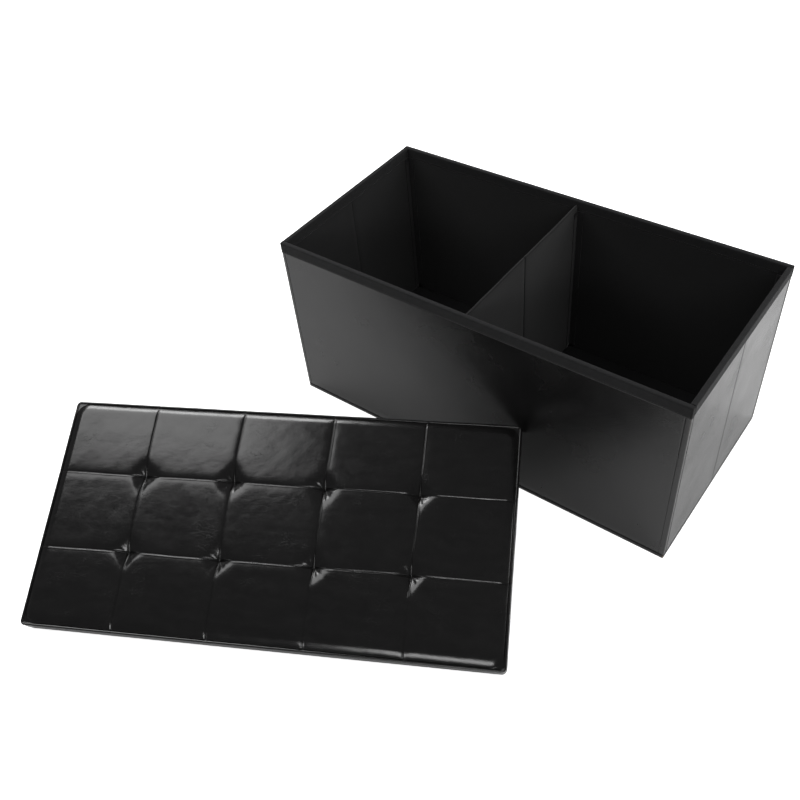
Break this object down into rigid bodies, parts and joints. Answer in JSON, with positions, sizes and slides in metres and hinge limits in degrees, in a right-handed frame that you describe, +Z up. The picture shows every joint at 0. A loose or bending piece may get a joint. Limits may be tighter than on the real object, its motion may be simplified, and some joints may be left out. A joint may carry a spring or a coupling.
{
  "type": "storage ottoman",
  "caption": "Rectangular folding storage ottoman: a fabric-lined box with a divider, and a tufted leather lid that lifts off and leans beside the box.",
  "frame": {"origin": "centre of the box's underside, on the floor", "axes": "+X along the box's length, +Y from the front wall, where the lid leans, to the back wall, +Z up"},
  "size_m": [0.9399, 1.0537, 0.345],
  "materials": {
    "leatherette": "satin, fine grain",
    "lid_leather": "glossy, wrinkled",
    "rim_binding": "matte",
    "lining_cloth": "matte non-woven",
    "wall_board": "stiff laminated card",
    "fibreboard": "raw fibreboard",
    "divider_card": "matte",
    "foam": "open-cell foam",
    "twine": "waxed thread",
    "steel": "zinc plated"
  },
  "bodies": {
    "base_and_back": {"base_board": "fibreboard", "base_underside_cloth": "lining_cloth", "base_edge_band": "leatherette", "base_lining": "lining_cloth", "back_board": "wall_board", "back_cover": "leatherette", "back_lining": "lining_cloth", "back_hem": "rim_binding"},
    "left_rear_flap": {"left_rear_board": "wall_board", "left_rear_cover": "leatherette", "left_rear_lining": "lining_cloth", "left_rear_hem": "rim_binding", "left_crease_strip": "leatherette", "left_rear_corner_tape": "lining_cloth"},
    "left_front_flap": {"left_front_board": "wall_board", "left_front_cover": "leatherette", "left_front_lining": "lining_cloth", "left_front_hem": "rim_binding", "left_front_corner_tape": "lining_cloth"},
    "front_wall": {"front_board": "wall_board", "front_cover": "leatherette", "front_lining": "lining_cloth", "front_hem": "rim_binding"},
    "right_rear_flap": {"right_rear_board": "wall_board", "right_rear_cover": "leatherette", "right_rear_lining": "lining_cloth", "right_rear_hem": "rim_binding", "right_crease_strip": "leatherette", "right_rear_corner_tape": "lining_cloth"},
    "right_front_flap": {"right_front_board": "wall_board", "right_front_cover": "leatherette", "right_front_lining": "lining_cloth", "right_front_hem": "rim_binding"},
    "divider_rear": {"divider_rear_board": "divider_card", "divider_rear_cloth": "lining_cloth", "divider_crease_tape": "lining_cloth", "divider_rear_tape": "lining_cloth"},
    "divider_front": {"divider_front_board": "divider_card", "divider_front_cloth": "lining_cloth"},
    "lid": {"lid_board": "fibreboard", "lid_foam": "foam", "lid_cover": "lid_leather", "lid_side_band": "lid_leather", "lid_turned_edge": "lid_leather", "lid_piping": "lid_leather", "lid_underside_cloth": "lining_cloth", "lid_locating_panel": "lining_cloth", "lid_tuft_twine": "twine", "lid_tuft_washers": "steel", "lid_staples": "steel"}
  },
  "joints": [
    {"name": "left_rear_fold", "type": "hinge", "parent": "base_and_back", "child": "left_rear_flap", "pos_m": [-0.369, 0.1765, 0.17], "axis": [0, 0, 1], "range_deg": [0, 90], "deforming": ["left_rear_corner_tape"]},
    {"name": "left_front_fold", "type": "hinge", "parent": "left_rear_flap", "child": "left_front_flap", "pos_m": [-0.37825, 0, 0.17], "axis": [0, 0, 1], "range_deg": [-180, 0], "deforming": ["left_crease_strip"]},
    {"name": "front_wall_fold", "type": "hinge", "parent": "left_front_flap", "child": "front_wall", "pos_m": [-0.369, -0.1765, 0.17], "axis": [0, 0, 1], "range_deg": [0, 90], "deforming": ["left_front_corner_tape"]},
    {"name": "right_rear_fold", "type": "hinge", "parent": "base_and_back", "child": "right_rear_flap", "pos_m": [0.369, 0.1765, 0.17], "axis": [0, 0, 1], "range_deg": [-90, 0], "deforming": ["right_rear_corner_tape"]},
    {"name": "right_front_fold", "type": "hinge", "parent": "right_rear_flap", "child": "right_front_flap", "pos_m": [0.37825, 0, 0.17], "axis": [0, 0, 1], "range_deg": [0, 180], "deforming": ["right_crease_strip"]},
    {"name": "divider_rear_fold", "type": "hinge", "parent": "base_and_back", "child": "divider_rear", "pos_m": [0.0023, 0.1765, 0.17], "axis": [0, 0, 1], "range_deg": [0, 90], "deforming": ["divider_rear_tape"]},
    {"name": "divider_front_fold", "type": "hinge", "parent": "divider_rear", "child": "divider_front", "pos_m": [-0.00255, 0, 0.17], "axis": [0, 0, 1], "range_deg": [-180, 0], "deforming": ["divider_crease_tape"]},
    {"name": "lid_lift", "type": "slide", "parent": "base_and_back", "child": "lid", "axis": [0, 0, 1], "range_m": [0, 0.4]}
  ],
  "couplings": [
    {"joint": "left_front_fold", "follows": "left_rear_fold", "ratio": -2},
    {"joint": "front_wall_fold", "follows": "left_rear_fold", "ratio": 1},
    {"joint": "right_rear_fold", "follows": "left_rear_fold", "ratio": -1},
    {"joint": "right_front_fold", "follows": "left_rear_fold", "ratio": 2},
    {"joint": "divider_rear_fold", "follows": "left_rear_fold", "ratio": 1},
    {"joint": "divider_front_fold", "follows": "left_rear_fold", "ratio": -2}
  ]
}
